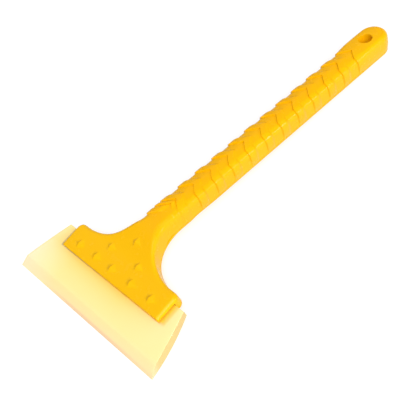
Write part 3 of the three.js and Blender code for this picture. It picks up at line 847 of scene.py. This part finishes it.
def steel(name):
    """Zinc-plated steel with faintly uneven tone and gloss."""
    n = Nodes(name)
    spots = n.noise(900.0, 3.0)
    tone = n.mix(n.ramp(spots, 0.3, 0.7), (0.52, 0.53, 0.55, 1), (0.66, 0.67, 0.68, 1))
    rough = n.ramp(spots, 0.3, 0.7, 0.22, 0.38)
    bsdf = n.add("BsdfPrincipled", Metallic=1.0, Roughness=rough, Base_Color=tone)
    n.put(bsdf.inputs["Normal"], n.bump(spots, 0.15, 0.00003))
    return n.finish(bsdf.outputs[0])


FLOOR_GLOW = 0.6


def floor_material():
    """A pale matt floor that is lifted a little, so that it stays near white."""
    n = Nodes("studio_floor")
    mottle = n.noise(6.0, 3.0)
    tone = n.mix(n.ramp(mottle, 0.3, 0.7), (0.39, 0.39, 0.39, 1), (0.41, 0.41, 0.41, 1))
    bsdf = n.add("BsdfPrincipled", Roughness=0.9, Base_Color=tone)
    bsdf.inputs["Emission Color"].default_value = CLEAN_WHITE
    bsdf.inputs["Emission Strength"].default_value = FLOOR_GLOW
    return n.finish(bsdf.outputs[0])


# ---- assembly ------------------------------------------------------------------------------------

# Painted light: the head's lighter tone stands in for more light falling on it.
HEAD_PAINTED_LIGHT_TONE = (0.79, 0.425, 0.002, 1)
SHELL_TONES = (0.79, 0.400, 0.001, 1), (0.78, 0.380, 0.001, 1)
COVER_TONES = (0.79, 0.395, 0.001, 1), (0.78, 0.375, 0.001, 1)
BLADE_FACE_TONES = (1.0, 0.83, 0.40, 1), (1.0, 0.81, 0.36, 1)
# Painted shade: the blade's end faces take a darker, less see-through copy of the blade material.
BLADE_SIDE_SHADED_TONES = (0.72, 0.53, 0.21, 1), (0.70, 0.50, 0.19, 1)
shell_plastic = plastic("shell_plastic_satin", *SHELL_TONES, HEAD_PAINTED_LIGHT_TONE, roughness=0.24)
cover_plastic = plastic("cover_plastic_satin", *COVER_TONES, HEAD_PAINTED_LIGHT_TONE, roughness=0.38)
blade_face = blade_material("blade_elastomer_clear", *BLADE_FACE_TONES, see_through=0.3)
blade_side_shaded = blade_material("blade_elastomer_side_shaded", *BLADE_SIDE_SHADED_TONES, see_through=0.1)
screw_steel = steel("screw_steel_zinc")


def settle(piece, node, material):
    """Puts a finished shape in the place of its CAD node, on the one body."""
    if not piece.data.materials:
        piece.data.materials.append(material)
    else:
        piece.data.materials[0] = material
    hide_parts(node)
    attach(piece, "root")


front_piece = make_front_shell()
shade(front_piece.data, 32)
settle(front_piece, "front_shell", shell_plastic)

rear_piece = make_rear_cover()
shade(rear_piece.data, 32)
settle(rear_piece, "rear_cover", cover_plastic)

blade_piece = make_blade()
shade(blade_piece.data, 30)
settle(blade_piece, "blade", blade_face)
# Painted shade: the end faces get the darker copy of the blade material.
blade_piece.data.materials.append(blade_side_shaded)
BLADE_SIDE_BEYOND = 68.0
for polygon in blade_piece.data.polygons:
    if abs(polygon.normal.x) > 0.75 and abs(polygon.center.x) > BLADE_SIDE_BEYOND * MM:
        polygon.material_index = 1

for i, x in enumerate(BLADE_SCREW_XS, 1):
    screw = make_screw(f"clamp_screw_{i}", BLADE_SCREW_AT, x, BLADE_SCREW_REACH)
    settle(screw, f"blade_screw_{i}", screw_steel)
for i, s in enumerate(HANDLE_SCREW_AT, 1):
    screw = make_screw(f"grip_screw_{i}", s, 0.0, HANDLE_SCREW_REACH)
    settle(screw, f"handle_screw_{i}", screw_steel)

for node in frame["nodes"].values():
    node.data.materials.clear()
    node.data.materials.append(shell_plastic if "shell" in node.name else screw_steel)

# ---- studio --------------------------------------------------------------------------------------

HALF_FLOOR = 3.0
FLOOR_DROP = 0.0003
floor_mesh = bpy.data.meshes.new("studio_floor")
corners = [(x * HALF_FLOOR, y * HALF_FLOOR, 0) for x, y in ((-1, -1), (1, -1), (1, 1), (-1, 1))]
floor_mesh.from_pydata(corners, [], [(0, 1, 2, 3)])
floor = bpy.data.objects.new("studio_floor", floor_mesh)
floor.location.z = -FLOOR_DROP
floor.data.materials.append(floor_material())
bpy.context.scene.collection.objects.link(floor)

# The studio: a dim even room, seen as white where the floor ends, a broad key light low on the
# scraper's right, a soft fill from above, a weak light from the left that lifts the far walls and
# leaves no highlight, and a small light from behind that glints on the studs.
ROOM_LIGHT, ROOM_SEEN = 0.2, 1.0
world = bpy.data.worlds.new("studio")
world.use_nodes = True
tree = world.node_tree
room = tree.nodes["Background"]
room.inputs[0].default_value = CLEAN_WHITE
seen = tree.nodes.new("ShaderNodeLightPath")
level = tree.nodes.new("ShaderNodeMapRange")
level.inputs[3].default_value = ROOM_LIGHT
level.inputs[4].default_value = ROOM_SEEN
tree.links.new(seen.outputs["Is Camera Ray"], level.inputs[0])
tree.links.new(level.outputs[0], room.inputs[1])
bpy.context.scene.world = world


def sun(name, direction, spread, strength, glossy=True):
    """A distant light from a direction, spread over an angle in degrees."""
    light = bpy.data.lights.new(name, "SUN")
    light.energy = strength * math.pi
    light.angle = math.radians(spread)
    lamp = bpy.data.objects.new(name, light)
    lamp.rotation_euler = (-Vector(direction)).to_track_quat("-Z", "Y").to_euler()
    lamp.visible_glossy = glossy
    bpy.context.scene.collection.objects.link(lamp)


sun("key", (0.74, -0.22, 0.62), 44, 0.83)
sun("fill", (0.3, -0.25, 1.0), 50, 0.42)
sun("back", (-0.80, 0.3, 0.45), 60, 0.18, glossy=False)
sun("glint", (0.80, 0.46, 0.40), 8, 0.22)

# The camera stands on the scraper's right, well above it.
CAMERA_AT = (434.364, -10.767, 488.894)
CAMERA_TURN = Vector((-0.448135, -0.606626, -0.632648))
LENS = 79.11
SENSOR = 36.0

camera_data = bpy.data.cameras.new("camera")
camera_data.sensor_width = SENSOR
camera_data.lens = LENS
camera_data.clip_start = 0.01
camera_data.clip_end = 20
camera = bpy.data.objects.new("camera", camera_data)
world_to_camera = Matrix.Rotation(CAMERA_TURN.length, 3, CAMERA_TURN)
camera_turn = TOOL_TO_ROW.to_3x3() @ world_to_camera.transposed()
camera.matrix_world = Matrix.Translation(Vector(to_row(CAMERA_AT))) @ camera_turn.to_4x4()
bpy.context.scene.collection.objects.link(camera)
bpy.context.scene.camera = camera
bpy.context.scene.view_settings.view_transform = "Standard"
